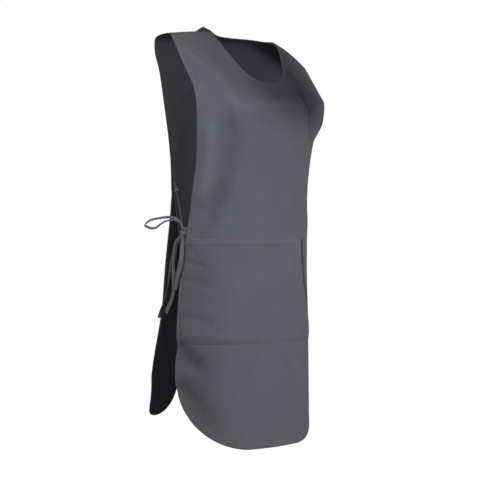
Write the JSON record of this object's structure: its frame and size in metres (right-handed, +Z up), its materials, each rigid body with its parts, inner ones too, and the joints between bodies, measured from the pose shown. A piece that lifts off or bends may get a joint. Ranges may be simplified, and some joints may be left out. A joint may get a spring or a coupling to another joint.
{
  "type": "cobbler apron",
  "caption": "Sleeveless tabard work apron in the form it has when worn, with a scoop neck, front pocket, rounded hems and taped side ties.",
  "frame": {"origin": "seat on the shoulders, midway between the straps and just under the shoulder seams", "axes": "+Z up along the wearer's body, -Y the way the front panel faces, -X the wearer's right side"},
  "size_m": [0.4417, 0.2435, 0.8197],
  "materials": {
    "twill": "matt grey polycotton twill",
    "tape": "matt grey self-fabric tape"
  },
  "bodies": {
    "root": {"front_panel": "twill", "back_panel": "twill", "pocket": "twill", "right_front_tie": "tape", "right_back_tie": "tape", "right_knot": "tape", "left_front_tie": "tape", "left_back_tie": "tape", "left_knot": "tape"}
  },
  "joints": []
}
